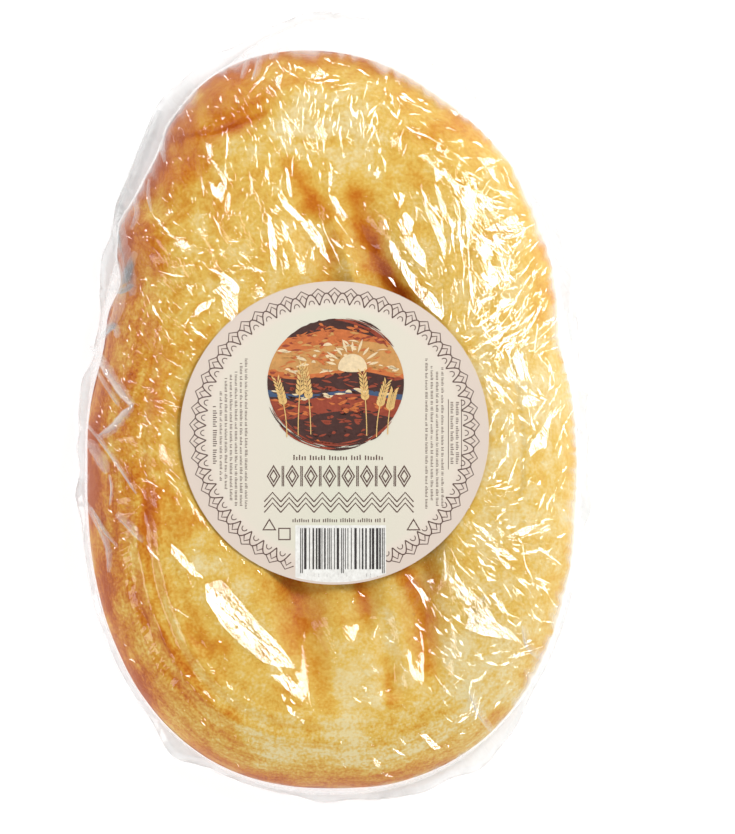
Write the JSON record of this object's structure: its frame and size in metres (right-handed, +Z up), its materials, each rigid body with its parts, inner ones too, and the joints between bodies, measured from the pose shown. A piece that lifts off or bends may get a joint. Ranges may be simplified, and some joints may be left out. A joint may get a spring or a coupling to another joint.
{
  "type": "matnakash flatbread in a clear bag",
  "caption": "Oval leavened flatbread with a thick outer roll and finger-drawn furrows, sealed in a thin clear bag with a round paper label on top.",
  "frame": {"origin": "on the surface that the bag lies on, under the middle of the bag's outline", "axes": "+Z up out of the labelled side, +Y along the loaf towards its narrower end, +X to the right as the label is read"},
  "size_m": [0.188, 0.2878, 0.04],
  "materials": {
    "crust": "satin",
    "film": "gloss",
    "label_paper": "satin",
    "label_ink": "satin"
  },
  "bodies": {
    "root": {"bag": "crust", "label": "label_paper"}
  },
  "joints": []
}
